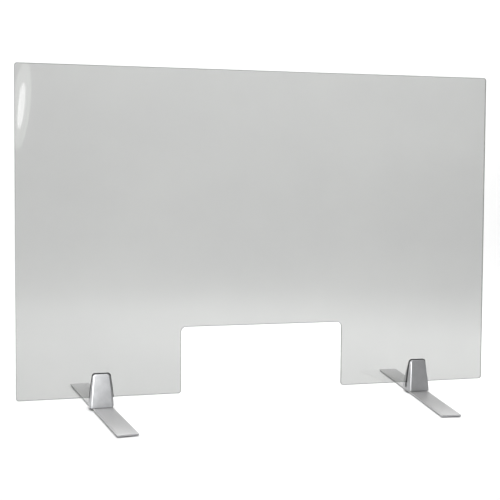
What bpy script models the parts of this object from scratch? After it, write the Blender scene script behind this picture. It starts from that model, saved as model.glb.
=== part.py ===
"""Clear desk screen with a pass-through notch, standing on two clamp feet.

X runs along the screen, the user's side is -Y, and the desk top is z = 0.
Each foot is a flat bar with a two-walled clamp body on top. The screen's
bottom edge stands in the slot between the walls, against rubber, and two set
screws in the rear wall press a steel plate and its pad against the sheet.
The bar turns about one countersunk screw that holds it under the body.
"""

import math

import bmesh
import bpy

MM = 0.001
GAP = 0.3 * MM  # left between pieces that touch

# The clear sheet
SHEET_WIDTH = 1000 * MM
SHEET_HEIGHT = 660 * MM
SHEET_THICKNESS = 5 * MM
SHEET_BOTTOM = 22 * MM  # height of its bottom edge above the desk
SHEET_CORNER = 6 * MM
SHEET_CHAMFER = 0.4 * MM
NOTCH_WIDTH = 344 * MM
NOTCH_HEIGHT = 136 * MM
NOTCH_CORNER = 10 * MM

# Where the feet stand, and how far each bar is turned inwards
FEET = {"left": (-334 * MM, math.radians(6.6)), "right": (346 * MM, math.radians(-6.6))}

# The flat bar and the two pads under it
PAD_THICKNESS = 1 * MM
PAD_LENGTH = 34 * MM
PAD_WIDTH = 24 * MM
PAD_FROM_END = 24 * MM  # bar end to the pad's centre
BAR_LENGTH = 452 * MM
BAR_WIDTH = 40 * MM
BAR_THICKNESS = 3 * MM
BAR_CORNER = 1 * MM
BAR_BOTTOM = PAD_THICKNESS + GAP
BAR_TOP = BAR_BOTTOM + BAR_THICKNESS

# The clamp body's outer shape: wide and deep at the base, narrow at the top
BODY_BOTTOM = BAR_TOP + GAP
BODY_TOP = 70 * MM
BODY_HALF_WIDTH = (24.5 * MM, 17 * MM)  # at the slot: base, top
BODY_FRONT = (-19.6 * MM, -8.4 * MM)  # depth of the front face: base, top
BODY_REAR = (23.8 * MM, 6.2 * MM)
FACE_SHARE = 0.86  # front and rear faces are this much of the width at the slot
TAPER_POWER = 1.5  # 1 would be straight sides; more gives them their belly
FACE_CORNER = 2.6 * MM
SLOT_CORNER = 1 * MM
TOP_CORNER = 5 * MM  # radius of the two top corners, seen from the front
TOP_EDGE = 1 * MM
HEEL_RADIUS = 8 * MM  # the rounded lower rear edge
BASE_EDGE = 0.6 * MM

# The slot in the body and what stands in it
RUBBER = 1.5 * MM
SLOT_FRONT = -(SHEET_THICKNESS / 2 + RUBBER + 2 * GAP)
SLOT_REAR = 3.4 * MM
SLOT_FLOOR = 11 * MM
REST_HALF_WIDTH = 18 * MM
LINER_SIDE = 1.2 * MM  # the front liner stands out past the body this much
LINER_TOP = 2 * MM

# The plate, its pad, and the set screws behind it
PLATE_WIDTH = 28 * MM
PLATE_LOW = 26 * MM
PLATE_HIGH = 50 * MM
PLATE_THICKNESS = 2 * MM
PLATE_CORNER = 2 * MM
PLATE_TRAVEL = 1.5 * MM
REAR_PAD_FRONT = SHEET_THICKNESS / 2 + GAP
PLATE_FRONT = REAR_PAD_FRONT + RUBBER + GAP
PLATE_REAR = PLATE_FRONT + PLATE_THICKNESS
SET_SCREW_RADIUS = 3 * MM  # M6, hexagon socket
SET_SCREW_LENGTH = 8 * MM
SET_SCREW_HEIGHT = 38 * MM
SET_SCREW_OFFSET = {"a": -8 * MM, "b": 8 * MM}
SPOT_FACE_RADIUS = 4.4 * MM
SPOT_FACE_Y = 15.5 * MM

# The countersunk screw that the bar turns on
BAR_SCREW_RADIUS = 2.5 * MM  # M5
BAR_SCREW_HEAD = 4.6 * MM
BAR_SCREW_BOTTOM = BAR_BOTTOM + 0.2 * MM
BAR_SCREW_TOP = 10.6 * MM
SOCKET_ACROSS_FLATS = 3 * MM

ROUND_SIDES = 32
ARC_STEPS = 5


def clear_scene():
    for obj in list(bpy.data.objects):
        bpy.data.objects.remove(obj, do_unlink=True)


def material(name, colour, roughness, metallic=0.0, transmission=0.0):
    made = bpy.data.materials.new(name)
    made.use_nodes = True
    shader = made.node_tree.nodes["Principled BSDF"]
    shader.inputs["Base Color"].default_value = (*colour, 1.0)
    shader.inputs["Roughness"].default_value = roughness
    shader.inputs["Metallic"].default_value = metallic
    shader.inputs["Transmission Weight"].default_value = transmission
    made.diffuse_color = (*colour, 1.0)
    return made


def finish_mesh(name, bm):
    """Face everything outwards, and shade round surfaces smooth and corners sharp."""
    bmesh.ops.recalc_face_normals(bm, faces=bm.faces)
    mesh = bpy.data.meshes.new(name)
    bm.to_mesh(mesh)
    bm.free()
    mesh.shade_smooth()
    mesh.set_sharp_from_angle(angle=math.radians(30))
    return mesh


def loft(name, rings):
    """A closed skin over rings of points, with a flat cap at each end."""
    bm = bmesh.new()
    rows = [[bm.verts.new(point) for point in ring] for ring in rings]
    for low, high in zip(rows, rows[1:]):
        for i in range(len(low)):
            j = (i + 1) % len(low)
            bm.faces.new((low[i], low[j], high[j], high[i]))
    bm.faces.new(rows[0])
    bm.faces.new(rows[-1])
    return finish_mesh(name, bm)


def rounded_outline(corners, steps=ARC_STEPS):
    """Points round a polygon whose (x, y, radius) corners are arcs."""
    points = []
    for i, (x, y, radius) in enumerate(corners):
        before = corners[i - 1]
        after = corners[(i + 1) % len(corners)]
        to_before = math.atan2(before[1] - y, before[0] - x)
        to_after = math.atan2(after[1] - y, after[0] - x)
        turn = (to_after - to_before) % (2 * math.pi)
        half = (turn if turn < math.pi else turn - 2 * math.pi) / 2
        middle = to_before + half
        reach = radius / abs(math.sin(half))
        centre = (x + reach * math.cos(middle), y + reach * math.sin(middle))
        sweep = math.copysign(math.pi / 2 - abs(half), half)
        for step in range(steps + 1):
            angle = middle + math.pi + sweep * (1 - 2 * step / steps)
            points.append(
                (centre[0] + radius * math.cos(angle), centre[1] + radius * math.sin(angle))
            )
    return points


def upright_plate(name, outline, front, rear):
    """An outline in X and Z, as thick as from front to rear along Y."""
    return loft(name, [[(x, y, z) for x, z in outline] for y in (front, rear)])


def flat_plate(name, outline, low, high):
    """An outline in X and Y, as thick as from low to high."""
    return loft(name, [[(x, y, z) for x, y in outline] for z in (low, high)])


def rectangle(half_width, low, high, radius):
    return [
        (-half_width, low, radius),
        (half_width, low, radius),
        (half_width, high, radius),
        (-half_width, high, radius),
    ]


def circle(radius, z, sides=ROUND_SIDES):
    turn = 2 * math.pi / sides
    return [(radius * math.cos(i * turn), radius * math.sin(i * turn), z) for i in range(sides)]


def turned(name, profile):
    """A solid of revolution about Z from (radius, z) pairs, lowest first."""
    return loft(name, [circle(radius, z) for radius, z in profile])


def hexagon_key(name, low, high):
    radius = SOCKET_ACROSS_FLATS / math.sqrt(3)
    return loft(name, [circle(radius, low, 6), circle(radius, high, 6)])


def place(name, mesh, skin, parent=None, location=(0, 0, 0), rotation=(0, 0, 0)):
    if skin.name not in mesh.materials:
        mesh.materials.append(skin)
    obj = bpy.data.objects.new(name, mesh)
    bpy.context.scene.collection.objects.link(obj)
    obj.parent = parent
    obj.location = location
    obj.rotation_euler = rotation
    return obj


def empty(name, location, rotation=(0, 0, 0), parent=None):
    obj = bpy.data.objects.new(name, None)
    bpy.context.scene.collection.objects.link(obj)
    obj.parent = parent
    obj.location = location
    obj.rotation_euler = rotation
    return obj


def cut(target, cutter_name, cutter_mesh, location=(0, 0, 0), rotation=(0, 0, 0)):
    """Subtract a hidden cutter, placed in the target's own space."""
    cutter = bpy.data.objects.new(cutter_name, cutter_mesh)
    bpy.context.scene.collection.objects.link(cutter)
    cutter.parent = target
    cutter.location = location
    cutter.rotation_euler = rotation
    cutter.hide_render = True
    cutter.display_type = "WIRE"
    boolean = target.modifiers.new(cutter_name, "BOOLEAN")
    boolean.operation = "DIFFERENCE"
    boolean.solver = "EXACT"
    boolean.object = cutter


def taper(ends, z):
    """A clamp body dimension at height z: it changes slowly at the base, faster at the top."""
    base, top = ends
    share = (z - BODY_BOTTOM) / (BODY_TOP - BODY_BOTTOM)
    return base + (top - base) * max(share, 0) ** TAPER_POWER


def round_over(distance, radius):
    """How far a rounded edge has drawn in, this distance from the face it ends in."""
    if distance >= radius:
        return 0
    return radius - math.sqrt(radius**2 - (radius - distance) ** 2)


def body_section(z):
    """The clamp body's outline at height z, as a ring of points."""
    from_top = BODY_TOP - z
    from_base = z - BODY_BOTTOM
    narrowing = round_over(from_top, TOP_CORNER) + round_over(from_base, BASE_EDGE)
    half_width = taper(BODY_HALF_WIDTH, z) - narrowing
    face = taper(BODY_HALF_WIDTH, z) * FACE_SHARE - narrowing
    front = taper(BODY_FRONT, z) + round_over(from_top, TOP_EDGE) + round_over(from_base, BASE_EDGE)
    rear = taper(BODY_REAR, z) - round_over(from_top, TOP_EDGE) - round_over(from_base, HEEL_RADIUS)
    slot_front = SLOT_FRONT - 0.6 * MM
    slot_rear = SLOT_REAR + 0.6 * MM
    corners = [
        (-face, front, FACE_CORNER),
        (face, front, FACE_CORNER),
        (half_width, slot_front, SLOT_CORNER),
        (half_width, slot_rear, SLOT_CORNER),
        (face, rear, FACE_CORNER / 2),
        (-face, rear, FACE_CORNER / 2),
        (-half_width, slot_rear, SLOT_CORNER),
        (-half_width, slot_front, SLOT_CORNER),
    ]
    return [(x, y, z) for x, y in rounded_outline(corners, 3)]


def body_heights():
    """Heights of the sections: close together where an edge is rounded over."""
    quarter = [0, 0.04, 0.16, 0.36, 0.62, 1]
    base = [BODY_BOTTOM + HEEL_RADIUS * share for share in quarter]
    base.insert(1, BODY_BOTTOM + BASE_EDGE / 2)
    top = [BODY_TOP - TOP_CORNER * share for share in reversed(quarter)]
    steps = 7
    middle = [base[-1] + (top[0] - base[-1]) * i / steps for i in range(1, steps)]
    return sorted(base) + middle + top


def liner_outline():
    """The front liner: the body's own outline at the slot, a little larger."""
    low = SHEET_BOTTOM
    high = BODY_TOP + LINER_TOP
    steps = 6
    side = []
    for i in range(steps + 1):
        z = low + (BODY_TOP - TOP_CORNER - low) * i / steps
        side.append((taper(BODY_HALF_WIDTH, z) + LINER_SIDE, z))
    radius = TOP_CORNER + LINER_SIDE
    centre_x = side[-1][0] - radius
    centre_z = high - radius
    arc = [
        (centre_x + radius * math.cos(angle), centre_z + radius * math.sin(angle))
        for angle in (math.radians(9 + 81 * i / 8) for i in range(9))
    ]
    half = [point for point in side if point[1] < arc[0][1] - 1 * MM] + arc
    return half + [(-x, z) for x, z in reversed(half)]


def sheet_outline():
    """The sheet with its four outer corners, and the notch in its bottom edge."""
    half = SHEET_WIDTH / 2
    notch = NOTCH_WIDTH / 2
    low = SHEET_BOTTOM
    high = SHEET_BOTTOM + SHEET_HEIGHT
    corners = [
        (-half, low, SHEET_CORNER),
        (-notch, low, SHEET_CORNER),
        (-notch, low + NOTCH_HEIGHT, NOTCH_CORNER),
        (notch, low + NOTCH_HEIGHT, NOTCH_CORNER),
        (notch, low, SHEET_CORNER),
        (half, low, SHEET_CORNER),
        (half, high, SHEET_CORNER),
        (-half, high, SHEET_CORNER),
    ]
    return rounded_outline(corners, 6)


def soften_edges(obj, width, segments=1):
    bevel = obj.modifiers.new("edges", "BEVEL")
    bevel.width = width
    bevel.segments = segments
    bevel.limit_method = "ANGLE"
    bevel.angle_limit = math.radians(40)
    bevel.harden_normals = False


clear_scene()

acrylic = material("clear_acrylic", (0.86, 0.88, 0.87), 0.04, transmission=1.0)
silver_casting = material("satin_silver_casting", (0.60, 0.61, 0.63), 0.36, metallic=0.9)
brushed_bar = material("brushed_aluminium", (0.56, 0.56, 0.57), 0.32, metallic=1.0)
black_rubber = material("black_rubber", (0.02, 0.02, 0.02), 0.75)
zinc_steel = material("zinc_plated_steel", (0.55, 0.56, 0.58), 0.30, metallic=1.0)
black_steel = material("black_oxide_steel", (0.05, 0.05, 0.055), 0.40, metallic=0.9)

# The sheet
half_sheet = SHEET_THICKNESS / 2
sheet = place(
    "screen_panel",
    upright_plate("screen_panel", sheet_outline(), -half_sheet, half_sheet),
    acrylic,
)
soften_edges(sheet, SHEET_CHAMFER)

# Meshes that both feet share, drawn about the foot's own centre line
half_bar = BAR_LENGTH / 2
bar_mesh = flat_plate(
    "bar",
    rounded_outline(rectangle(BAR_WIDTH / 2, -half_bar, half_bar, BAR_CORNER), 3),
    BAR_BOTTOM,
    BAR_TOP,
)
countersink = turned(
    "bar_countersink",
    [
        (BAR_SCREW_HEAD + GAP + 1.2 * MM, BAR_SCREW_BOTTOM - 1.2 * MM),
        (BAR_SCREW_RADIUS + GAP, BAR_SCREW_BOTTOM + BAR_SCREW_HEAD - BAR_SCREW_RADIUS),
        (BAR_SCREW_RADIUS + GAP, BAR_TOP + 5 * MM),
    ],
)
foot_pad_mesh = flat_plate(
    "foot_pad",
    rounded_outline(rectangle(PAD_WIDTH / 2, -PAD_LENGTH / 2, PAD_LENGTH / 2, 4 * MM)),
    0,
    PAD_THICKNESS,
)
bar_screw_mesh = turned(
    "bar_screw",
    [
        (BAR_SCREW_HEAD, BAR_SCREW_BOTTOM),
        (BAR_SCREW_RADIUS, BAR_SCREW_BOTTOM + BAR_SCREW_HEAD - BAR_SCREW_RADIUS),
        (BAR_SCREW_RADIUS, BAR_SCREW_TOP - 0.5 * MM),
        (BAR_SCREW_RADIUS - 0.5 * MM, BAR_SCREW_TOP),
    ],
)
bar_screw_key = hexagon_key("bar_screw_key", 0, BAR_SCREW_BOTTOM + 1.6 * MM)

body_mesh = loft("clamp_body", [body_section(z) for z in body_heights()])
slot_cutter = upright_plate(
    "slot",
    [(-0.04, SLOT_FLOOR), (0.04, SLOT_FLOOR), (0.04, 0.09), (-0.04, 0.09)],
    SLOT_FRONT,
    SLOT_REAR,
)
recess_cutter = upright_plate(
    "plate_recess",
    rounded_outline(
        rectangle(
            PLATE_WIDTH / 2 + GAP, PLATE_LOW - GAP, PLATE_HIGH + GAP, PLATE_CORNER + GAP
        )
    ),
    SLOT_REAR - 1 * MM,
    PLATE_REAR + PLATE_TRAVEL + GAP,
)
set_screw_bore = turned(
    "set_screw_bore",
    [
        (SET_SCREW_RADIUS + GAP, PLATE_REAR),
        (SET_SCREW_RADIUS + GAP, SPOT_FACE_Y),
        (SPOT_FACE_RADIUS, SPOT_FACE_Y),
        (SPOT_FACE_RADIUS, 40 * MM),
    ],
)
bar_screw_bore = turned(
    "bar_screw_bore",
    [(BAR_SCREW_RADIUS + GAP, 0), (BAR_SCREW_RADIUS + GAP, SLOT_FLOOR + 2 * MM)],
)
liner_mesh = upright_plate(
    "front_liner", liner_outline(), SLOT_FRONT + GAP, SLOT_FRONT + GAP + RUBBER
)
edge_rest_mesh = upright_plate(
    "edge_rest",
    rounded_outline(
        rectangle(REST_HALF_WIDTH, SLOT_FLOOR + GAP, SHEET_BOTTOM - GAP, 1 * MM), 2
    ),
    SLOT_FRONT + GAP,
    half_sheet,
)
plate_outline = rounded_outline(
    rectangle(PLATE_WIDTH / 2, PLATE_LOW, PLATE_HIGH, PLATE_CORNER)
)
rear_pad_mesh = upright_plate(
    "rear_pad", plate_outline, REAR_PAD_FRONT, REAR_PAD_FRONT + RUBBER
)
plate_mesh = upright_plate("pressure_plate", plate_outline, PLATE_FRONT, PLATE_REAR)
set_screw_mesh = turned(
    "set_screw",
    [
        (SET_SCREW_RADIUS - 0.8 * MM, 0),
        (SET_SCREW_RADIUS, 0.8 * MM),
        (SET_SCREW_RADIUS, SET_SCREW_LENGTH - 0.4 * MM),
        (SET_SCREW_RADIUS - 0.4 * MM, SET_SCREW_LENGTH),
    ],
)
set_screw_key = hexagon_key("set_screw_key", SET_SCREW_LENGTH - 3 * MM, SET_SCREW_LENGTH + 1 * MM)

for side, (foot_x, bar_turn) in FEET.items():
    foot = empty(f"{side}_foot", (foot_x, 0, 0))

    # The bar, on its screw's axis, with a pad under each end
    bar = place(f"{side}_bar", bar_mesh, brushed_bar, foot, rotation=(0, 0, bar_turn))
    cut(bar, f"{side}_bar_countersink", countersink)
    soften_edges(bar, 0.3 * MM)
    for end, direction in (("front", -1), ("rear", 1)):
        place(
            f"{side}_{end}_foot_pad",
            foot_pad_mesh,
            black_rubber,
            bar,
            location=(0, direction * (half_bar - PAD_FROM_END), 0),
        )
    bar_screw = place(f"{side}_bar_screw", bar_screw_mesh, zinc_steel, foot)
    cut(bar_screw, f"{side}_bar_screw_key", bar_screw_key)

    # The clamp body, with its slot, the plate's recess and the threaded holes
    body = place(f"{side}_clamp_body", body_mesh, silver_casting, foot)
    cut(body, f"{side}_slot", slot_cutter)
    cut(body, f"{side}_plate_recess", recess_cutter)
    cut(body, f"{side}_bar_screw_bore", bar_screw_bore)
    for letter, offset in SET_SCREW_OFFSET.items():
        cut(
            body,
            f"{side}_set_screw_bore_{letter}",
            set_screw_bore,
            location=(offset, 0, SET_SCREW_HEIGHT),
            rotation=(-math.pi / 2, 0, 0),
        )

    # What stands in the slot
    place(f"{side}_front_liner", liner_mesh, black_rubber, foot)
    place(f"{side}_edge_rest", edge_rest_mesh, black_rubber, foot)
    place(f"{side}_rear_pad", rear_pad_mesh, black_rubber, foot)
    place(f"{side}_pressure_plate", plate_mesh, zinc_steel, foot)
    for letter, offset in SET_SCREW_OFFSET.items():
        set_screw = place(
            f"{side}_set_screw_{letter}",
            set_screw_mesh,
            black_steel,
            foot,
            location=(offset, PLATE_REAR + GAP, SET_SCREW_HEIGHT),
            rotation=(-math.pi / 2, 0, 0),
        )
        cut(set_screw, f"{side}_set_screw_key_{letter}", set_screw_key)
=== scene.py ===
import math
import bmesh
import bpy
from mathutils import Euler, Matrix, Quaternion, Vector


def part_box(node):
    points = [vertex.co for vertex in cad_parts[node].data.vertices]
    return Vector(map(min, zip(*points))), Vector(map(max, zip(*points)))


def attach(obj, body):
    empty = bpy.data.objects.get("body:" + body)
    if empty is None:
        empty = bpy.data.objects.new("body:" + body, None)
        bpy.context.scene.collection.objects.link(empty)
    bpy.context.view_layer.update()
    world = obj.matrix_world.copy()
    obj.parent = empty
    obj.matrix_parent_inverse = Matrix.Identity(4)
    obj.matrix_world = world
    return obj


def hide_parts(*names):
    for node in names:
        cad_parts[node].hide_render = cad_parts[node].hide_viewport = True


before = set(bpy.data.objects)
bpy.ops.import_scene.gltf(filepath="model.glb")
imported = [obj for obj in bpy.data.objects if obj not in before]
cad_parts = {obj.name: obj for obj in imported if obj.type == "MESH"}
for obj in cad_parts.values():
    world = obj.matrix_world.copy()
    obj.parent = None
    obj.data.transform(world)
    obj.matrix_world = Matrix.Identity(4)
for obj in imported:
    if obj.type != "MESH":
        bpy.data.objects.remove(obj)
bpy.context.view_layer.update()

# ---------------------------------------------------------------------------
# Studio: a seamless pale backdrop that is floor and wall in one, turned like a
# shallow bowl so that it closes every view, with soft panels of light above it
# and a few small lamps that each light one kind of piece.
# ---------------------------------------------------------------------------
SWEEP_FLAT_RADIUS = 1.9
SWEEP_BEND = 3.1
SWEEP_WALL_TOP = 5.2
SWEEP_SIDES = 96
SWEEP_BEND_STEPS = 24
SWEEP_CENTRE_HOLE = 0.02
FLOOR_GAP = 0.0004


def new_piece(name, bm, smooth_angle=35.0):
    """Make an object from a bmesh, smooth across anything blunter than the angle, flat at its caps."""
    bmesh.ops.recalc_face_normals(bm, faces=bm.faces)
    mesh = bpy.data.meshes.new(name)
    bm.to_mesh(mesh)
    bm.free()
    mesh.shade_smooth()
    mesh.set_sharp_from_angle(angle=math.radians(smooth_angle))
    for face in mesh.polygons:
        face.use_smooth = len(face.vertices) < 8
    piece = bpy.data.objects.new(name, mesh)
    bpy.context.scene.collection.objects.link(piece)
    return piece


def skin_rings(bm, rings):
    """Join closed rings of points, each the same length, with quads."""
    rows = [[bm.verts.new(point) for point in ring] for ring in rings]
    for low, high in zip(rows, rows[1:]):
        count = len(low)
        for i in range(count):
            j = (i + 1) % count
            bm.faces.new((low[i], low[j], high[j], high[i]))
    return rows


def start_material(name):
    """A new material, with its node tree, its links and its Principled shader."""
    made = bpy.data.materials.new(name)
    made.use_nodes = True
    tree = made.node_tree
    return made, tree, tree.nodes["Principled BSDF"]


def sweep_profile():
    """Radius and height of the backdrop, from its middle outwards and up."""
    yield SWEEP_CENTRE_HOLE, 0.0
    yield SWEEP_FLAT_RADIUS * 0.5, 0.0
    for step in range(SWEEP_BEND_STEPS + 1):
        angle = math.pi / 2 * step / SWEEP_BEND_STEPS
        radius = SWEEP_FLAT_RADIUS + SWEEP_BEND * math.sin(angle)
        yield radius, SWEEP_BEND * (1 - math.cos(angle))
    yield SWEEP_FLAT_RADIUS + SWEEP_BEND, SWEEP_WALL_TOP


sweep_bm = bmesh.new()
sweep_rings = []
for radius, height in sweep_profile():
    turn = 2 * math.pi / SWEEP_SIDES
    sweep_rings.append(
        [
            (radius * math.cos(i * turn), radius * math.sin(i * turn), height)
            for i in range(SWEEP_SIDES)
        ]
    )
sweep_rows = skin_rings(sweep_bm, sweep_rings)
sweep_bm.faces.new(sweep_rows[0])
sweep = new_piece("studio_sweep", sweep_bm, 60)
sweep.location.z = -FLOOR_GAP
sweep_paint, _, sweep_shader = start_material("sweep_paint")
sweep_shader.inputs["Base Color"].default_value = (0.86, 0.86, 0.86, 1)
sweep_shader.inputs["Roughness"].default_value = 0.85
sweep_shader.inputs["Specular IOR Level"].default_value = 0.2
sweep.data.materials.append(sweep_paint)

studio = bpy.data.worlds.new("studio_air")
studio.use_nodes = True
studio.node_tree.nodes["Background"].inputs["Color"].default_value = (1, 1, 1, 1)
studio.node_tree.nodes["Background"].inputs["Strength"].default_value = 0.32
bpy.context.scene.world = studio
bpy.context.scene.view_settings.view_transform = "Standard"


def light_panel(name, location, target, width, height, power, spread=180):
    """A soft rectangular lamp, aimed at a point; a smaller spread keeps its light together."""
    lamp = bpy.data.lights.new(name, "AREA")
    lamp.shape = "RECTANGLE"
    lamp.size = width
    lamp.size_y = height
    lamp.energy = power
    lamp.spread = math.radians(spread)
    holder = bpy.data.objects.new(name, lamp)
    holder.location = location
    aim = Vector(target) - Vector(location)
    holder.rotation_mode = "QUATERNION"
    holder.rotation_quaternion = aim.to_track_quat("-Z", "Y")
    holder.visible_camera = False
    bpy.context.scene.collection.objects.link(holder)
    return holder


key_panel = light_panel("key_panel", (-0.95, -0.60, 0.52), (-0.334, -0.01, 0.04), 0.5, 0.6, 50)
light_panel("overhead_panel", (-0.1, -0.3, 3.4), (-0.1, -0.5, 0), 3.0, 2.4, 90)
light_panel("rear_floor_panel", (0.3, 0.8, 1.9), (0.35, 0.9, 0), 2.4, 0.5, 10, 110)
light_panel("backdrop_panel", (0.7, 1.9, 3.6), (0.8, 4.7, 2.9), 3.8, 1.0, 104)
key_lit = bpy.data.collections.new("key_lit")
key_panel.light_linking.receiver_collection = key_lit

TIP_LAMP_SIZE = 0.08
TIP_LAMP_HEIGHT = 0.15
TIP_LAMP_POWER = 0.67
TIP_LAMP_SPREAD = 120
bars_lit = bpy.data.collections.new("bars_lit")
for tip in ("left_front", "left_rear", "right_front", "right_rear"):
    low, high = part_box(f"{tip}_foot_pad")
    bar_end = (low + high) / 2
    tip_panel = light_panel(
        f"{tip}_tip_panel",
        (bar_end.x, bar_end.y * 1.60, TIP_LAMP_HEIGHT),
        bar_end * 1.15,
        TIP_LAMP_SIZE,
        TIP_LAMP_SIZE,
        TIP_LAMP_POWER,
        TIP_LAMP_SPREAD,
    )
    tip_panel.light_linking.receiver_collection = bars_lit
    tip_panel.visible_glossy = False

glint_lit = bpy.data.collections.new("glint_lit")
GLINT_LAMPS = {"glint_core": (0.022, 0.16, 0.05), "glint_halo": (0.06, 0.3, 0.06)}
GLINT_LEAN = math.radians(-6)
for name, (width, height, power) in GLINT_LAMPS.items():
    glint = light_panel(name, (-0.459, -1.5, 0.70), (-0.459, 0, 0.70), width, height, power)
    glint.data.shape = "ELLIPSE"
    glint.rotation_quaternion @= Quaternion((0, 0, 1), GLINT_LEAN)
    glint.light_linking.receiver_collection = glint_lit

eye = bpy.data.cameras.new("eye")
eye.sensor_width = 36
eye.lens = 69.55
eye.shift_x = 0.0025
eye.shift_y = -0.0566
eye.clip_start = 0.05
eye.clip_end = 40
eye_holder = bpy.data.objects.new("eye", eye)
eye_holder.location = (-0.5221, -1.9261, 0.4682)
eye_holder.rotation_mode = "QUATERNION"
eye_tilt = Euler((math.radians(90 - 2.778), 0, math.radians(-14.287))).to_quaternion()
eye_holder.rotation_quaternion = eye_tilt @ Quaternion((0, 0, 1), math.radians(0.357))
bpy.context.scene.collection.objects.link(eye_holder)
bpy.context.scene.camera = eye_holder

# ---------------------------------------------------------------------------
# Clear sheet: cast acrylic, laser cut to its outline with the notch in the
# bottom edge, then flame polished so the rim is rounded over and glossy.
# ---------------------------------------------------------------------------
SHEET_CORNER = 0.006
NOTCH_WIDTH = 0.344
NOTCH_HEIGHT = 0.136
NOTCH_CORNER = 0.010
RIM_ROUNDING = 0.0014


def rounded_outline(corners, steps):
    """Points round a polygon whose (x, y, radius) corners are arcs."""
    points = []
    for i, (x, y, radius) in enumerate(corners):
        before = corners[i - 1]
        after = corners[(i + 1) % len(corners)]
        to_before = math.atan2(before[1] - y, before[0] - x)
        to_after = math.atan2(after[1] - y, after[0] - x)
        turn = (to_after - to_before) % (2 * math.pi)
        half = (turn if turn < math.pi else turn - 2 * math.pi) / 2
        middle = to_before + half
        reach = radius / abs(math.sin(half))
        centre_x = x + reach * math.cos(middle)
        centre_y = y + reach * math.sin(middle)
        sweep_angle = math.copysign(math.pi / 2 - abs(half), half)
        for step in range(steps + 1):
            angle = middle + math.pi + sweep_angle * (1 - 2 * step / steps)
            points.append(
                (centre_x + radius * math.cos(angle), centre_y + radius * math.sin(angle))
            )
    return points


def inset_outline(points, distance):
    """The same outline moved inwards; the points run anticlockwise."""
    moved = []
    count = len(points)
    for i, (x, y) in enumerate(points):
        before = Vector(points[i - 1])
        after = Vector(points[(i + 1) % count])
        here = Vector((x, y))
        first = (here - before).normalized()
        second = (after - here).normalized()
        normal = Vector((-first.y - second.y, first.x + second.x)).normalized()
        lean = max(normal.dot(Vector((-first.y, first.x))), 0.3)
        moved.append(tuple(here + normal * (distance / lean)))
    return moved


def slab(name, outline, low, high, rounding, lay, steps=3):
    """A plate with rounded-over rims. lay turns (u, v, depth) into a point."""
    bm = bmesh.new()
    layers = []
    for step in range(steps + 1):
        angle = math.pi / 2 * step / steps
        layers.append((rounding * (1 - math.sin(angle)), low + rounding * (1 - math.cos(angle))))
    for step in range(steps + 1):
        angle = math.pi / 2 * step / steps
        layers.append((rounding * (1 - math.cos(angle)), high - rounding * (1 - math.sin(angle))))
    rings = []
    for inset, depth in layers:
        ring = inset_outline(outline, inset) if inset > 1e-9 else outline
        rings.append([lay(u, v, depth) for u, v in ring])
    rows = skin_rings(bm, rings)
    bm.faces.new(rows[0])
    bm.faces.new(rows[-1])
    return new_piece(name, bm, 50)


def upright(u, v, depth):
    """Stand an outline up across the object, with its depth running to the rear."""
    return (u, depth, v)


def lying(u, v, depth):
    """Lay an outline down flat, with its depth running upwards."""
    return (u, v, depth)


def grain_group():
    """Fine unevenness in a surface, stretched along one axis if wanted: a value about 0.5."""
    group = bpy.data.node_groups.new("surface_grain", "ShaderNodeTree")
    face = group.interface
    face.new_socket("Position", in_out="INPUT", socket_type="NodeSocketVector")
    face.new_socket("Stretch", in_out="INPUT", socket_type="NodeSocketVector")
    face.new_socket("Scale", in_out="INPUT", socket_type="NodeSocketFloat")
    face.new_socket("Detail", in_out="INPUT", socket_type="NodeSocketFloat")
    face.new_socket("Grain", in_out="OUTPUT", socket_type="NodeSocketFloat")
    inward = group.nodes.new("NodeGroupInput")
    outward = group.nodes.new("NodeGroupOutput")
    stretch = group.nodes.new("ShaderNodeVectorMath")
    stretch.operation = "MULTIPLY"
    noise = group.nodes.new("ShaderNodeTexNoise")
    noise.inputs["Roughness"].default_value = 0.6
    group.links.new(inward.outputs["Position"], stretch.inputs[0])
    group.links.new(inward.outputs["Stretch"], stretch.inputs[1])
    group.links.new(stretch.outputs[0], noise.inputs["Vector"])
    group.links.new(inward.outputs["Scale"], noise.inputs["Scale"])
    group.links.new(inward.outputs["Detail"], noise.inputs["Detail"])
    group.links.new(noise.outputs["Fac"], outward.inputs["Grain"])
    return group


surface_grain = grain_group()


def add_grain(tree, scale, stretch=(1, 1, 1), detail=3.0):
    """Place the shared grain in a material, read in the object's own space; returns its output."""
    where = tree.nodes.new("ShaderNodeTexCoord")
    node = tree.nodes.new("ShaderNodeGroup")
    node.node_tree = surface_grain
    node.inputs["Stretch"].default_value = stretch
    node.inputs["Scale"].default_value = scale
    node.inputs["Detail"].default_value = detail
    tree.links.new(where.outputs["Object"], node.inputs["Position"])
    return node.outputs["Grain"]


def remap(tree, source, low, high, from_low=0.3, from_high=0.7):
    """Turn a value into the range low to high."""
    node = tree.nodes.new("ShaderNodeMapRange")
    node.inputs["From Min"].default_value = from_low
    node.inputs["From Max"].default_value = from_high
    node.inputs["To Min"].default_value = low
    node.inputs["To Max"].default_value = high
    tree.links.new(source, node.inputs["Value"])
    return node.outputs["Result"]


def tint(tree, shader, source, dark, light):
    """Colour the surface between two colours by a value."""
    ramp = tree.nodes.new("ShaderNodeValToRGB")
    ramp.color_ramp.elements[0].position = 0.3
    ramp.color_ramp.elements[0].color = (*dark, 1)
    ramp.color_ramp.elements[1].position = 0.7
    ramp.color_ramp.elements[1].color = (*light, 1)
    tree.links.new(source, ramp.inputs["Fac"])
    tree.links.new(ramp.outputs["Color"], shader.inputs["Base Color"])


def bump(tree, shader, height, strength, distance):
    """Raise the surface by a value; distance is in metres."""
    node = tree.nodes.new("ShaderNodeBump")
    node.inputs["Strength"].default_value = strength
    node.inputs["Distance"].default_value = distance
    tree.links.new(height, node.inputs["Height"])
    tree.links.new(node.outputs["Normal"], shader.inputs["Normal"])


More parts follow.
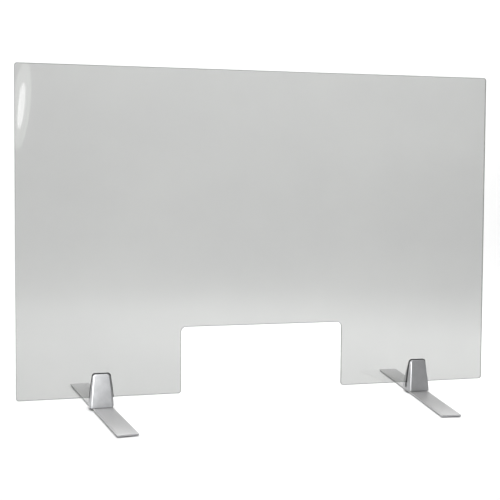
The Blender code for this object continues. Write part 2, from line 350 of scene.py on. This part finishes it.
sheet_low, sheet_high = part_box("screen_panel")
half_width = sheet_high.x
notch_half = NOTCH_WIDTH / 2
notch_top = sheet_low.z + NOTCH_HEIGHT
sheet_corners = [
    (-half_width, sheet_low.z, SHEET_CORNER),
    (-notch_half, sheet_low.z, SHEET_CORNER),
    (-notch_half, notch_top, NOTCH_CORNER),
    (notch_half, notch_top, NOTCH_CORNER),
    (notch_half, sheet_low.z, SHEET_CORNER),
    (half_width, sheet_low.z, SHEET_CORNER),
    (half_width, sheet_high.z, SHEET_CORNER),
    (-half_width, sheet_high.z, SHEET_CORNER),
]
sheet_outline = rounded_outline(sheet_corners, 10)
sheet = slab("clear_sheet", sheet_outline, sheet_low.y, sheet_high.y, RIM_ROUNDING, upright)

acrylic, acrylic_tree, acrylic_shader = start_material("clear_acrylic")
acrylic_shader.inputs["Metallic"].default_value = 0.0
acrylic_shader.inputs["Transmission Weight"].default_value = 1.0
acrylic_shader.inputs["IOR"].default_value = 1.49
# Painted shade: the sheet is tinted grey, to about half transmission, far darker than clear acrylic,
# so it reads grey; the wiping marks vary that tint only a little.
wiping_and_painted_shade = add_grain(acrylic_tree, 3.0, (1, 1, 1.6), 4.0)
tint(acrylic_tree, acrylic_shader, wiping_and_painted_shade, (0.51, 0.516, 0.51), (0.54, 0.546, 0.537))
smudges = add_grain(acrylic_tree, 7.0, (1, 1, 0.7), 6.0)
acrylic_tree.links.new(
    remap(acrylic_tree, smudges, 0.0, 0.045, 0.42, 0.74), acrylic_shader.inputs["Roughness"]
)
sheet.data.materials.append(acrylic)

rim_polish, rim_tree, rim_shader = start_material("flame_polished_rim")
rim_shader.inputs["Transmission Weight"].default_value = 1.0
rim_shader.inputs["IOR"].default_value = 1.49
# Painted shade: the rim is tinted far darker than the sheet, so its edges read as dark lines; the cut
# marks vary that tint and the rim's roughness.
cut_marks_and_painted_shade = add_grain(rim_tree, 900.0, (1, 0.04, 1), 2.0)
tint(rim_tree, rim_shader, cut_marks_and_painted_shade, (0.20, 0.215, 0.205), (0.30, 0.32, 0.305))
rim_tree.links.new(
    remap(rim_tree, cut_marks_and_painted_shade, 0.08, 0.25), rim_shader.inputs["Roughness"]
)
sheet.data.materials.append(rim_polish)
for face in sheet.data.polygons:
    if abs(face.normal.y) < 0.999:
        face.material_index = 1
glint_lit.objects.link(sheet)
sheet.visible_shadow = False
sheet.visible_diffuse = False
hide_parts("screen_panel")
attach(sheet, "screen")

# ---------------------------------------------------------------------------
# Clamp bodies: aluminium castings, each a front and a rear wall on one base
# web, blasted and lacquered satin silver. The slot, the recess for the plate
# and the threaded holes are machined afterwards.
# ---------------------------------------------------------------------------
SIDES = ("left", "right")
BODY_HALF_WIDTH = (0.0245, 0.0170)
BODY_FRONT = (-0.0196, -0.0084)
BODY_REAR = (0.0238, 0.0062)
FACE_SHARE = 0.86
TAPER_POWER = 1.5
FACE_CORNER = 0.0026
SLOT_CORNER = 0.0010
TOP_CORNER = 0.005
TOP_EDGE = 0.001
HEEL_RADIUS = 0.008
BASE_EDGE = 0.0006
SLOT_FRONT = -0.0046
SLOT_REAR = 0.0034
SLOT_FLOOR = 0.011
SET_SCREW_HEIGHT = 0.038
SET_SCREW_OFFSETS = {"a": -0.008, "b": 0.008}
BORE_RADIUS = 0.0033
SPOT_FACE_RADIUS = 0.0044
SPOT_FACE_DEPTH = 0.0155
BASE_BORE_RADIUS = 0.0028
RECESS_CORNER = 0.0023
RECESS_GAP = 0.0003
EDGE_BREAK = 0.00022


def round_over(distance, radius):
    """How far a rounded edge has drawn in, this distance from the face it ends in."""
    if distance >= radius:
        return 0.0
    return radius - math.sqrt(radius**2 - (radius - distance) ** 2)


class ClampShape:
    """The casting's outer skin between its lowest and highest point."""

    def __init__(self, bottom, top):
        self.bottom = bottom
        self.top = top

    def taper(self, ends, z):
        share = max((z - self.bottom) / (self.top - self.bottom), 0.0)
        return ends[0] + (ends[1] - ends[0]) * share**TAPER_POWER

    def section(self, z):
        from_top = self.top - z
        from_base = z - self.bottom
        narrowing = round_over(from_top, TOP_CORNER) + round_over(from_base, BASE_EDGE)
        widest = self.taper(BODY_HALF_WIDTH, z)
        waist = widest - narrowing
        face = widest * FACE_SHARE - narrowing
        front = self.taper(BODY_FRONT, z)
        front += round_over(from_top, TOP_EDGE) + round_over(from_base, BASE_EDGE)
        rear = self.taper(BODY_REAR, z)
        rear -= round_over(from_top, TOP_EDGE) + round_over(from_base, HEEL_RADIUS)
        slot_front = SLOT_FRONT - 0.0006
        slot_rear = SLOT_REAR + 0.0006
        corners = [
            (-face, front, FACE_CORNER),
            (face, front, FACE_CORNER),
            (waist, slot_front, SLOT_CORNER),
            (waist, slot_rear, SLOT_CORNER),
            (face, rear, FACE_CORNER / 2),
            (-face, rear, FACE_CORNER / 2),
            (-waist, slot_rear, SLOT_CORNER),
            (-waist, slot_front, SLOT_CORNER),
        ]
        return [(x, y, z) for x, y in rounded_outline(corners, 6)]

    def heights(self):
        quarter = [math.sin(math.pi / 2 * (i / 9)) for i in range(10)]
        shares = sorted({round(1 - share, 6) for share in quarter})
        low = [self.bottom + HEEL_RADIUS * share for share in shares]
        low += [self.bottom + BASE_EDGE * share for share in (0.25, 0.6)]
        high = [self.top - TOP_CORNER * share for share in shares]
        high += [self.top - TOP_EDGE * share for share in (0.1, 0.4)]
        start = max(low)
        middle = [start + (min(high) - start) * i / 14 for i in range(1, 14)]
        return sorted(low) + middle + sorted(high)


def block_cutter(name, low, high):
    """A plain block between two corners, for cutting slots."""
    bm = bmesh.new()
    bmesh.ops.create_cube(bm, size=1)
    for vert in bm.verts:
        for axis in range(3):
            vert.co[axis] = low[axis] if vert.co[axis] < 0 else high[axis]
    return new_piece(name, bm)


def round_cutter(name, rings, lay, sides=48):
    """A turned cutter from (radius, depth) pairs; lay turns (u, v, depth) into a point."""
    bm = bmesh.new()
    turn = 2 * math.pi / sides
    points = []
    for radius, depth in rings:
        points.append(
            [
                lay(radius * math.cos(i * turn), radius * math.sin(i * turn), depth)
                for i in range(sides)
            ]
        )
    rows = skin_rings(bm, points)
    bm.faces.new(rows[0])
    bm.faces.new(rows[-1])
    return new_piece(name, bm)


def apply_modifiers(piece):
    """Keep the evaluated mesh and drop the modifiers."""
    bpy.context.view_layer.update()
    graph = bpy.context.evaluated_depsgraph_get()
    mesh = bpy.data.meshes.new_from_object(piece.evaluated_get(graph))
    old = piece.data
    piece.modifiers.clear()
    piece.data = mesh
    bpy.data.meshes.remove(old)


def subtract(piece, cutters):
    """Cut the cutters out of a piece, then throw them away."""
    for cutter in cutters:
        boolean = piece.modifiers.new(cutter.name, "BOOLEAN")
        boolean.operation = "DIFFERENCE"
        boolean.solver = "EXACT"
        boolean.object = cutter
    apply_modifiers(piece)
    for cutter in cutters:
        bpy.data.objects.remove(cutter, do_unlink=True)


def break_edges(piece, width, segments=2, angle=40.0):
    """Take the sharpness off every edge steeper than the angle."""
    bevel = piece.modifiers.new("edge_break", "BEVEL")
    bevel.width = width
    bevel.segments = segments
    bevel.limit_method = "ANGLE"
    bevel.angle_limit = math.radians(angle)
    bevel.use_clamp_overlap = True
    bevel.harden_normals = True
    apply_modifiers(piece)


def shared_centre(node):
    """The middle of a CAD node's box."""
    low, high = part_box(node)
    return (low + high) / 2


def clamp_mesh():
    """One casting, about its own centre line, with everything machined into it."""
    low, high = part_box("left_clamp_body")
    shape = ClampShape(low.z, high.z)
    bm = bmesh.new()
    rows = skin_rings(bm, [shape.section(z) for z in shape.heights()])
    bm.faces.new(rows[0])
    bm.faces.new(rows[-1])
    body = new_piece("clamp_casting", bm, 30)
    plate_low, plate_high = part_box("left_pressure_plate")
    half_recess = (plate_high.x - plate_low.x) / 2 + RECESS_GAP
    recess_low = plate_low.z - RECESS_GAP
    recess_high = plate_high.z + RECESS_GAP
    recess = slab(
        "recess_cutter",
        rounded_outline(
            [
                (-half_recess, recess_low, RECESS_CORNER),
                (half_recess, recess_low, RECESS_CORNER),
                (half_recess, recess_high, RECESS_CORNER),
                (-half_recess, recess_high, RECESS_CORNER),
            ],
            6,
        ),
        SLOT_REAR - 0.001,
        plate_high.y + 0.0018,
        0.00005,
        upright,
        1,
    )
    cutters = [
        block_cutter("slot_cutter", (-0.05, SLOT_FRONT, SLOT_FLOOR), (0.05, SLOT_REAR, 0.1)),
        recess,
        round_cutter(
            "base_cutter",
            [(BASE_BORE_RADIUS, 0.0), (BASE_BORE_RADIUS, SLOT_FLOOR + 0.002)],
            lying,
        ),
    ]
    for letter, offset in SET_SCREW_OFFSETS.items():
        cutters.append(
            round_cutter(
                f"bore_cutter_{letter}",
                [
                    (BORE_RADIUS, plate_high.y),
                    (BORE_RADIUS, SPOT_FACE_DEPTH - 0.0006),
                    (BORE_RADIUS + 0.0006, SPOT_FACE_DEPTH),
                    (SPOT_FACE_RADIUS, SPOT_FACE_DEPTH),
                    (SPOT_FACE_RADIUS, 0.04),
                ],
                lambda u, v, depth, dx=offset: (u + dx, depth, v + SET_SCREW_HEIGHT),
            )
        )
    subtract(body, cutters)
    break_edges(body, EDGE_BREAK)
    mesh = body.data
    bpy.data.objects.remove(body, do_unlink=True)
    return mesh


silver, silver_tree, silver_shader = start_material("satin_silver_lacquer")
silver_shader.inputs["Metallic"].default_value = 0.85
flake = add_grain(silver_tree, 1100.0, (1, 1, 1), 2.0)
cloud = add_grain(silver_tree, 110.0, (1, 1, 1), 5.0)
tint(silver_tree, silver_shader, cloud, (0.245, 0.248, 0.253), (0.275, 0.278, 0.283))
silver_tree.links.new(
    remap(silver_tree, cloud, 0.43, 0.50), silver_shader.inputs["Roughness"]
)
bump(silver_tree, silver_shader, flake, 0.4, 0.00012)

casting_mesh = clamp_mesh()
casting_mesh.materials.clear()
casting_mesh.materials.append(silver)
casting_centres = {}
for side in SIDES:
    centre = shared_centre(f"{side}_bar_screw")
    casting_centres[side] = centre
    casting = bpy.data.objects.new(f"{side}_clamp_casting", casting_mesh)
    casting.location = (centre.x, 0, 0)
    bpy.context.scene.collection.objects.link(casting)
    key_lit.objects.link(casting)
    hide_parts(f"{side}_clamp_body")
    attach(casting, f"{side}_clamp")

# ---------------------------------------------------------------------------
# Lining: die-cut black rubber between the sheet and the casting's front wall,
# standing out past the metal all round, and the block under the sheet's edge.
# ---------------------------------------------------------------------------
LINER_SIDE = 0.0012


def liner_outline(low, high, shape):
    """The casting's front outline, a little larger all round."""
    side = []
    straight_top = shape.top - TOP_CORNER
    for i in range(15):
        z = low.z + (straight_top - low.z) * i / 14
        side.append((shape.taper(BODY_HALF_WIDTH, z) + LINER_SIDE, z))
    radius = TOP_CORNER + LINER_SIDE
    centre_x = side[-1][0] - radius
    centre_z = high.z - radius
    arc = []
    for i in range(17):
        angle = math.radians(9 + 81 * i / 16)
        arc.append((centre_x + radius * math.cos(angle), centre_z + radius * math.sin(angle)))
    half = [point for point in side if point[1] < arc[0][1] - 0.001] + arc
    return half + [(-x, z) for x, z in reversed(half)]


rubber, rubber_tree, rubber_shader = start_material("black_rubber")
rubber_grain = add_grain(rubber_tree, 1400.0, (1, 1, 1), 3.0)
bloom = add_grain(rubber_tree, 120.0, (1, 1, 1), 3.0)
tint(rubber_tree, rubber_shader, bloom, (0.018, 0.018, 0.018), (0.034, 0.034, 0.033))
rubber_tree.links.new(
    remap(rubber_tree, bloom, 0.55, 0.75), rubber_shader.inputs["Roughness"]
)
bump(rubber_tree, rubber_shader, rubber_grain, 0.4, 0.0001)

body_low, body_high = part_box("left_clamp_body")
clamp_shape = ClampShape(body_low.z, body_high.z)
for side in SIDES:
    centre = casting_centres[side]
    low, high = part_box(f"{side}_front_liner")
    liner = slab(
        f"{side}_front_lining",
        liner_outline(low, high, clamp_shape),
        low.y,
        high.y,
        0.00035,
        upright,
    )
    liner.location.x = centre.x
    liner.data.materials.append(rubber)
    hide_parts(f"{side}_front_liner")
    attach(liner, f"{side}_lining")

    low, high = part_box(f"{side}_edge_rest")
    half_rest = (high.x - low.x) / 2
    rest_outline = [
        (-half_rest, low.z, 0.0008),
        (half_rest, low.z, 0.0008),
        (half_rest, high.z, 0.0008),
        (-half_rest, high.z, 0.0008),
    ]
    rest = slab(
        f"{side}_edge_rest_block",
        rounded_outline(rest_outline, 4),
        low.y,
        high.y,
        0.0004,
        upright,
    )
    rest.location.x = centre.x
    rest.data.materials.append(rubber)
    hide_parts(f"{side}_edge_rest")
    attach(rest, f"{side}_lining")

# ---------------------------------------------------------------------------
# Pressure plate and its pad: a stamped zinc-plated steel plate with two
# dimples for the screw tips, and a rubber pad bonded to its front.
# ---------------------------------------------------------------------------
DIMPLE_RADIUS = 0.0020
DIMPLE_DEPTH = 0.0005

zinc, zinc_tree, zinc_shader = start_material("zinc_plated_steel")
zinc_shader.inputs["Metallic"].default_value = 1.0
spangle = add_grain(zinc_tree, 260.0, (1, 1, 1), 2.0)
tint(zinc_tree, zinc_shader, spangle, (0.46, 0.47, 0.50), (0.62, 0.63, 0.65))
zinc_tree.links.new(remap(zinc_tree, spangle, 0.22, 0.38), zinc_shader.inputs["Roughness"])
bump(zinc_tree, zinc_shader, spangle, 0.2, 0.00005)


def plate_outline(low, high, radius=0.002):
    """A plate's rounded rectangle, about its own centre line."""
    half = (high.x - low.x) / 2
    return rounded_outline(
        [
            (-half, low.z, radius),
            (half, low.z, radius),
            (half, high.z, radius),
            (-half, high.z, radius),
        ],
        6,
    )


for side in SIDES:
    centre = casting_centres[side]
    low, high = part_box(f"{side}_pressure_plate")
    plate = slab(
        f"{side}_steel_plate", plate_outline(low, high), low.y, high.y, 0.0003, upright
    )
    dimples = []
    for letter, offset in SET_SCREW_OFFSETS.items():
        dimples.append(
            round_cutter(
                f"dimple_cutter_{letter}",
                [(DIMPLE_RADIUS * 0.4, high.y - DIMPLE_DEPTH), (DIMPLE_RADIUS, high.y + 0.0002)],
                lambda u, v, depth, dx=offset: (u + dx, depth, v + SET_SCREW_HEIGHT),
                24,
            )
        )
    subtract(plate, dimples)
    plate.location.x = centre.x
    plate.data.materials.clear()
    plate.data.materials.append(zinc)
    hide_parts(f"{side}_pressure_plate")
    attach(plate, f"{side}_plate")

    low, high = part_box(f"{side}_rear_pad")
    pad = slab(f"{side}_plate_pad", plate_outline(low, high), low.y, high.y, 0.0003, upright)
    pad.location.x = centre.x
    pad.data.materials.append(rubber)
    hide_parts(f"{side}_rear_pad")
    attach(pad, f"{side}_plate")

# ---------------------------------------------------------------------------
# Set screws: M6 socket set screws in black steel, with a rolled thread, a
# coned tip towards the plate and a hexagon socket in the rear end.
# ---------------------------------------------------------------------------
SCREW_RADIUS = 0.0030
THREAD_PITCH = 0.001
THREAD_DEPTH = 0.00055
SOCKET_FLATS = 0.003
SOCKET_DEPTH = 0.003

black_steel, steel_tree, steel_shader = start_material("black_oxide_steel")
steel_shader.inputs["Metallic"].default_value = 0.9
oil = add_grain(steel_tree, 500.0, (1, 1, 1), 3.0)
tint(steel_tree, steel_shader, oil, (0.035, 0.035, 0.038), (0.075, 0.075, 0.08))
steel_tree.links.new(remap(steel_tree, oil, 0.28, 0.45), steel_shader.inputs["Roughness"])
bump(steel_tree, steel_shader, oil, 0.2, 0.00004)


def hexagon_cutter(name, low, high, lay):
    """A six-sided cutter for a key socket, given by its width across the flats."""
    corner_radius = SOCKET_FLATS / math.sqrt(3)
    return round_cutter(name, [(corner_radius, low), (corner_radius, high)], lay, 6)


def threaded_rod(name, length, lay, sides=36):
    """A thread along the depth axis from 0 to length, coned at its tip, chamfered at its end."""
    bm = bmesh.new()
    rings = []
    per_pitch = 8
    count = round(length / THREAD_PITCH * per_pitch)
    for row in range(count + 1):
        depth = length * row / count
        ring = []
        for i in range(sides):
            angle = 2 * math.pi * i / sides
            phase = (depth / THREAD_PITCH - i / sides) % 1.0
            groove = abs(2 * phase - 1)
            radius = SCREW_RADIUS - THREAD_DEPTH * groove
            radius = min(radius, SCREW_RADIUS - 0.0009 + depth * 0.9)
            radius = min(radius, SCREW_RADIUS - 0.0004 + (length - depth) * 1.0)
            ring.append(lay(radius * math.cos(angle), radius * math.sin(angle), depth))
        rings.append(ring)
    rows = skin_rings(bm, rings)
    bm.faces.new(rows[0])
    bm.faces.new(rows[-1])
    return new_piece(name, bm, 50)


def backwards(u, v, depth):
    """Depth runs to the rear, and the thread stays right-handed."""
    return (u, depth, -v)


for side in SIDES:
    for letter in SET_SCREW_OFFSETS:
        node = f"{side}_set_screw_{letter}"
        low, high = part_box(node)
        length = high.y - low.y
        screw = threaded_rod(f"{side}_socket_screw_{letter}", length, backwards)
        key_hole = hexagon_cutter(
            "key_cutter", length - SOCKET_DEPTH, length + 0.001, backwards
        )
        subtract(screw, [key_hole])
        screw.location = ((low.x + high.x) / 2, low.y, (low.z + high.z) / 2)
        screw.data.materials.clear()
        screw.data.materials.append(black_steel)
        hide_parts(node)
        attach(screw, f"{side}_screw_{letter}")

# ---------------------------------------------------------------------------
# Base bars: stock flat aluminium bar, sawn to length, brushed along its length
# and clear anodised, with one countersunk hole from below in the middle.
# ---------------------------------------------------------------------------
BAR_WIDTH = 0.040
BAR_LENGTH = 0.452
BAR_EDGE = 0.0004
BAR_CORNER = 0.001
BAR_HOLE_RADIUS = 0.0028
COUNTERSINK_RADIUS = 0.0061
COUNTERSINK_DEPTH = 0.0023
BAR_TURN = {"left": math.radians(6.6), "right": math.radians(-6.6)}

brushed, brushed_tree, brushed_shader = start_material("brushed_aluminium")
brushed_shader.inputs["Metallic"].default_value = 0.75
brush_fine = add_grain(brushed_tree, 2600.0, (1, 0.006, 1), 3.0)
brush_broad = add_grain(brushed_tree, 420.0, (1, 0.01, 1), 3.0)
tint(brushed_tree, brushed_shader, brush_broad, (0.367, 0.367, 0.371), (0.425, 0.425, 0.425))
brushed_tree.links.new(
    remap(brushed_tree, brush_fine, 0.36, 0.44), brushed_shader.inputs["Roughness"]
)
bump(brushed_tree, brushed_shader, brush_fine, 0.35, 0.00006)

sawn, sawn_tree, sawn_shader = start_material("sawn_aluminium")
sawn_shader.inputs["Metallic"].default_value = 1.0
saw_marks = add_grain(sawn_tree, 1500.0, (0.05, 1, 1), 3.0)
tint(sawn_tree, sawn_shader, saw_marks, (0.34, 0.34, 0.35), (0.50, 0.50, 0.51))
sawn_tree.links.new(remap(sawn_tree, saw_marks, 0.35, 0.5), sawn_shader.inputs["Roughness"])
bump(sawn_tree, sawn_shader, saw_marks, 0.5, 0.0001)

for side in SIDES:
    low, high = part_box(f"{side}_bar")
    half_bar = BAR_LENGTH / 2
    bar_outline = rounded_outline(
        [
            (-BAR_WIDTH / 2, -half_bar, BAR_CORNER),
            (BAR_WIDTH / 2, -half_bar, BAR_CORNER),
            (BAR_WIDTH / 2, half_bar, BAR_CORNER),
            (-BAR_WIDTH / 2, half_bar, BAR_CORNER),
        ],
        5,
    )
    bar = slab(f"{side}_flat_bar", bar_outline, low.z, high.z, BAR_EDGE, lying)
    countersink = round_cutter(
        "countersink_cutter",
        [
            (COUNTERSINK_RADIUS, low.z - 0.001),
            (BAR_HOLE_RADIUS, low.z + COUNTERSINK_DEPTH),
            (BAR_HOLE_RADIUS, high.z + 0.004),
        ],
        lying,
    )
    subtract(bar, [countersink])
    bar.location = (casting_centres[side].x, 0, 0)
    bar.rotation_euler = (0, 0, BAR_TURN[side])
    bar.data.materials.clear()
    bar.data.materials.append(brushed)
    bar.data.materials.append(sawn)
    for face in bar.data.polygons:
        if abs(face.normal.y) > 0.7:
            face.material_index = 1
    bars_lit.objects.link(bar)
    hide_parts(f"{side}_bar")
    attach(bar, f"{side}_base_bar")

# ---------------------------------------------------------------------------
# Bar screws: zinc-plated M5 countersunk socket screws, up through each bar
# into the base of the casting. Each bar turns about its screw.
# ---------------------------------------------------------------------------
BAR_SCREW_HEAD = 0.0046
BAR_SCREW_RADIUS = 0.0025
BAR_SCREW_SOCKET = 0.0016

for side in SIDES:
    low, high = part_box(f"{side}_bar_screw")
    cone = BAR_SCREW_HEAD - BAR_SCREW_RADIUS
    bar_screw = round_cutter(
        f"{side}_countersunk_screw",
        [
            (BAR_SCREW_HEAD - 0.0002, low.z),
            (BAR_SCREW_HEAD, low.z + 0.0002),
            (BAR_SCREW_RADIUS, low.z + cone),
            (BAR_SCREW_RADIUS, high.z - 0.0005),
            (BAR_SCREW_RADIUS - 0.0005, high.z),
        ],
        lying,
    )
    key_hole = hexagon_cutter(
        "key_cutter", low.z - 0.001, low.z + BAR_SCREW_SOCKET, lying
    )
    subtract(bar_screw, [key_hole])
    bar_screw.location.x = casting_centres[side].x
    bar_screw.data.materials.clear()
    bar_screw.data.materials.append(zinc)
    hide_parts(f"{side}_bar_screw")
    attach(bar_screw, f"{side}_clamp")

# ---------------------------------------------------------------------------
# Foot pads: self-adhesive black rubber under both ends of each bar, with
# rounded corners, so the bar neither slips nor marks the desk.
# ---------------------------------------------------------------------------
FOOT_PAD_WIDTH = 0.024
FOOT_PAD_LENGTH = 0.034
FOOT_PAD_CORNER = 0.004

for side in SIDES:
    for end in ("front", "rear"):
        node = f"{side}_{end}_foot_pad"
        low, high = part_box(node)
        middle = shared_centre(node)
        foot_pad = slab(
            f"{side}_{end}_grip_pad",
            rounded_outline(
                [
                    (-FOOT_PAD_WIDTH / 2, -FOOT_PAD_LENGTH / 2, FOOT_PAD_CORNER),
                    (FOOT_PAD_WIDTH / 2, -FOOT_PAD_LENGTH / 2, FOOT_PAD_CORNER),
                    (FOOT_PAD_WIDTH / 2, FOOT_PAD_LENGTH / 2, FOOT_PAD_CORNER),
                    (-FOOT_PAD_WIDTH / 2, FOOT_PAD_LENGTH / 2, FOOT_PAD_CORNER),
                ],
                8,
            ),
            low.z,
            high.z,
            0.0002,
            lying,
        )
        foot_pad.location = (middle.x, middle.y, 0)
        foot_pad.rotation_euler = (0, 0, BAR_TURN[side])
        foot_pad.data.materials.append(rubber)
        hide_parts(node)
        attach(foot_pad, f"{side}_base_bar")
